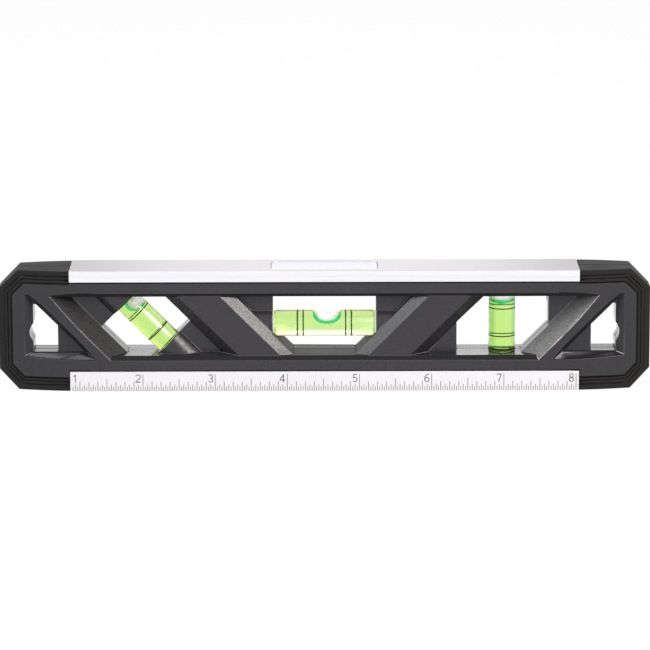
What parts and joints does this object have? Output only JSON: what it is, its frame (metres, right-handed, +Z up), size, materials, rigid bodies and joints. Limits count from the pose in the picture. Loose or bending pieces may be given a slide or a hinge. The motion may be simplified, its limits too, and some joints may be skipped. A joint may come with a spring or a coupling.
{
  "type": "magnetic torpedo level",
  "caption": "Nine inch magnetic torpedo level: black moulded body with aluminium edges, ruled front edge, rubber ends and level, plumb and 45 degree bubble vials.",
  "frame": {"origin": "middle of the magnetic working edge, midway between the two faces", "axes": "+X along the level to the right as the ruler is read, +Y from the ruled face to the rear face, +Z up from the magnetic edge to the top edge"},
  "size_m": [0.2294, 0.021, 0.0431],
  "materials": {
    "shell_plastic": "moulded black ABS with a fine satin grain",
    "rail_aluminium": "extruded aluminium, clear anodised and lightly brushed",
    "cap_rubber": "matte black moulded rubber",
    "lens_acrylic": "milky clear acrylic",
    "magnet": "dark rubber bonded magnet strip",
    "ruler_print": "white printed strip",
    "vial_acrylic": "clear polished acrylic",
    "vial_plug": "white plastic plug",
    "vial_liquid": "clear yellow green liquid",
    "vial_bubble": "air bubble",
    "ring_black": "black ring"
  },
  "bodies": {
    "level_body": {"front_shell": "shell_plastic", "rear_shell": "shell_plastic", "top_rail": "rail_aluminium", "bottom_rail": "rail_aluminium", "left_end_cap": "cap_rubber", "right_end_cap": "cap_rubber", "top_lens": "lens_acrylic", "magnet_strip": "magnet", "ruler_strip": "ruler_print", "level_vial_tube": "vial_acrylic", "level_vial_plugs": "vial_plug", "level_vial_liquid": "vial_liquid", "level_vial_rings": "ring_black", "plumb_vial_tube": "vial_acrylic", "plumb_vial_plugs": "vial_plug", "plumb_vial_liquid": "vial_liquid", "plumb_vial_rings": "ring_black", "angle_vial_tube": "vial_acrylic", "angle_vial_plugs": "vial_plug", "angle_vial_liquid": "vial_liquid", "angle_vial_rings": "ring_black"},
    "level_bubble": {"level_vial_bubble": "vial_bubble"},
    "plumb_bubble": {"plumb_vial_bubble": "vial_bubble"},
    "angle_bubble": {"angle_vial_bubble": "vial_bubble"}
  },
  "joints": [
    {"name": "level_bubble_slide", "type": "slide", "parent": "level_body", "child": "level_bubble", "axis": [1, 0, 0], "range_m": [-0.0127, 0.0109], "stiffness_N_per_m": 0.2, "deforming": ["level_vial_liquid"]},
    {"name": "plumb_bubble_slide", "type": "slide", "parent": "level_body", "child": "plumb_bubble", "axis": [0, 0, 1], "range_m": [-0.0171, 0], "stiffness_N_per_m": 0.2, "springref_m": 0.02, "deforming": ["plumb_vial_liquid"]},
    {"name": "angle_bubble_slide", "type": "slide", "parent": "level_body", "child": "angle_bubble", "axis": [-0.7071, 0, 0.7071], "range_m": [-0.0157, 0], "stiffness_N_per_m": 0.2, "springref_m": 0.015, "deforming": ["angle_vial_liquid"]}
  ]
}
